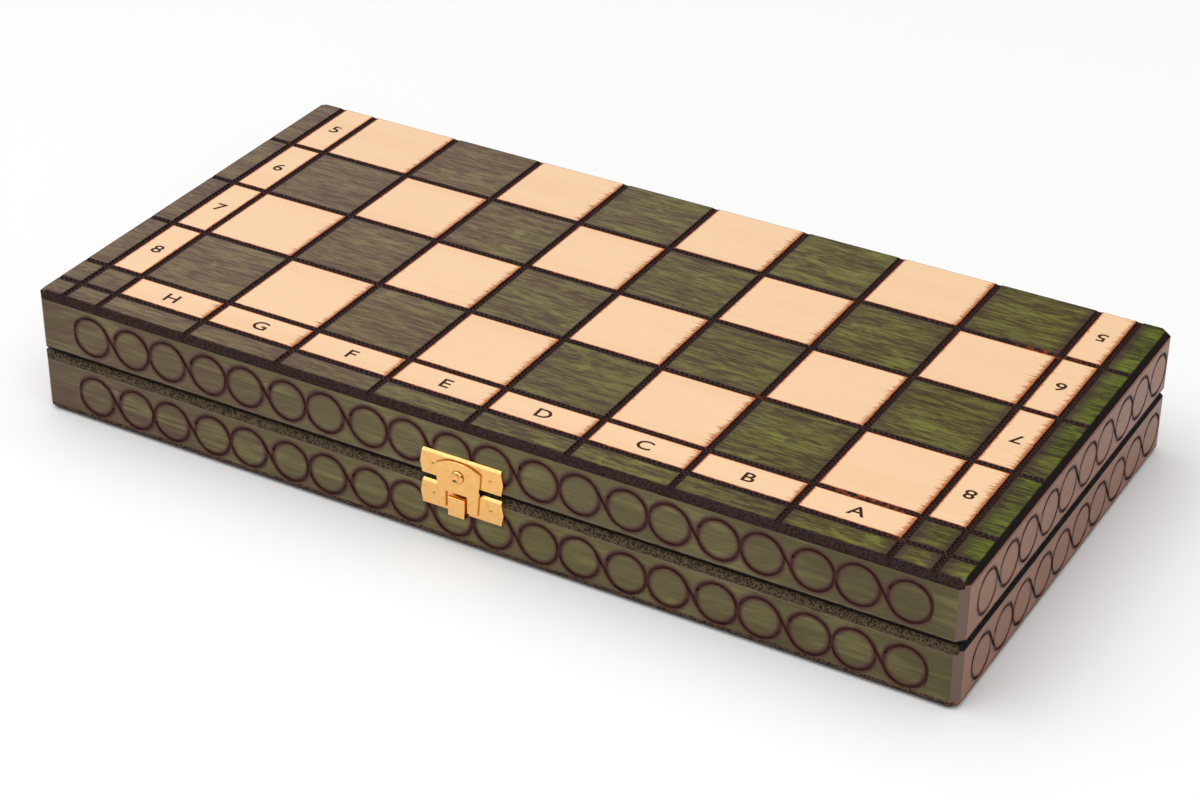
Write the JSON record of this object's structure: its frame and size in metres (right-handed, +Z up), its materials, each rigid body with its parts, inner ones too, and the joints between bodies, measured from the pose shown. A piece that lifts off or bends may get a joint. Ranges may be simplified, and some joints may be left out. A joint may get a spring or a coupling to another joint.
{
  "type": "folding chess set",
  "caption": "Wooden folding chess case: hinged trays whose outer faces are the board, with a brass clasp and turned men inside.",
  "frame": {"origin": "bottom centre of the closed case's bounding box, clasp and hinge barrels included", "axes": "+X along the length, +Y from the clasp to the hinges, +Z up from the underside to the upper playing face"},
  "size_m": [0.35, 0.1802, 0.0476],
  "materials": {
    "board_wood": "natural and green-stained squares with burnt lines under gloss lacquer",
    "rail_wood": "green stain with burnt scrolls under gloss lacquer",
    "divider_wood": "plain satin",
    "light_man_wood": "turned, gloss lacquer",
    "dark_man_wood": "turned, green stain under gloss lacquer",
    "felt": "short felt",
    "clasp_brass": "polished pressed sheet",
    "hinge_brass": "polished"
  },
  "bodies": {
    "lower_case": {"clasp_lower_nails": "clasp_brass", "clasp_lower_plate": "clasp_brass", "dark_bishop_1": "dark_man_wood", "dark_bishop_2": "dark_man_wood", "dark_king": "dark_man_wood", "dark_knight_1": "dark_man_wood", "dark_knight_2": "dark_man_wood", "dark_pawn_1": "dark_man_wood", "dark_pawn_2": "dark_man_wood", "dark_pawn_3": "dark_man_wood", "dark_pawn_4": "dark_man_wood", "dark_pawn_5": "dark_man_wood", "dark_pawn_6": "dark_man_wood", "dark_pawn_7": "dark_man_wood", "dark_pawn_8": "dark_man_wood", "dark_queen": "dark_man_wood", "dark_rook_1": "dark_man_wood", "dark_rook_2": "dark_man_wood", "hinge_lower_leaves": "hinge_brass", "hinge_lower_screws": "hinge_brass", "hinge_pins": "hinge_brass", "lane_dividers": "divider_wood", "light_bishop_1": "light_man_wood", "light_bishop_2": "light_man_wood", "light_king": "light_man_wood", "light_knight_1": "light_man_wood", "light_knight_2": "light_man_wood", "light_pawn_1": "light_man_wood", "light_pawn_2": "light_man_wood", "light_pawn_3": "light_man_wood", "light_pawn_4": "light_man_wood", "light_pawn_5": "light_man_wood", "light_pawn_6": "light_man_wood", "light_pawn_7": "light_man_wood", "light_pawn_8": "light_man_wood", "light_queen": "light_man_wood", "light_rook_1": "light_man_wood", "light_rook_2": "light_man_wood", "lower_back_rail": "rail_wood", "lower_board_panel": "board_wood", "lower_front_rail": "rail_wood", "lower_left_rail": "rail_wood", "lower_lining": "felt", "lower_right_rail": "rail_wood"},
    "lid": {"clasp_rivet": "clasp_brass", "clasp_upper_nails": "clasp_brass", "clasp_upper_plate": "clasp_brass", "hinge_upper_leaves": "hinge_brass", "hinge_upper_screws": "hinge_brass", "upper_back_rail": "rail_wood", "upper_board_panel": "board_wood", "upper_front_rail": "rail_wood", "upper_left_rail": "rail_wood", "upper_lining": "felt", "upper_right_rail": "rail_wood"},
    "hasp": {"clasp_hasp": "clasp_brass"}
  },
  "joints": [
    {"name": "lid_hinge", "type": "hinge", "parent": "lower_case", "child": "lid", "pos_m": [0, 0.0881, 0.0238], "axis": [-1, 0, 0], "range_deg": [0, 180]},
    {"name": "hasp_pivot", "type": "hinge", "parent": "lid", "child": "hasp", "pos_m": [-0.0018, -0.08825, 0.0279], "axis": [0, -1, 0], "range_deg": [0, 6]}
  ]
}
